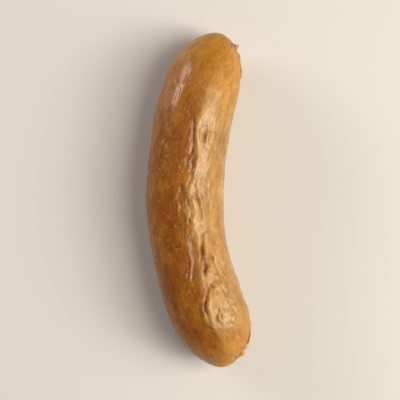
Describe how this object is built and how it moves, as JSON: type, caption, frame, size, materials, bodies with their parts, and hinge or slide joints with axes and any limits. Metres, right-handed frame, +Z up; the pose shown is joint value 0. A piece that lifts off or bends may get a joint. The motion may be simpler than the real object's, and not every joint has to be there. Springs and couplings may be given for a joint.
{
  "type": "smoked sausage link",
  "caption": "Bent smoked sausage link lying on its side, with a wrinkled golden-brown natural casing, gathered ends and a short dry casing tail folded back at each end.",
  "frame": {"origin": "under the middle of the link's bounding box, at the level of the surface that it lies on", "axes": "+Y along the link, from the front tip to the back tip; +X towards the hollow side of the bend; +Z up, away from the surface that it lies on"},
  "size_m": [0.0442, 0.1388, 0.0311],
  "materials": {
    "smoked_skin": "satin smoked natural casing, golden brown, darker on the outside of the bend, with fine lengthwise wrinkles",
    "dry_casing": "dry twisted end of the casing, cream, thin and slightly see-through"
  },
  "bodies": {
    "root": {"sausage_link": "smoked_skin"}
  },
  "joints": []
}
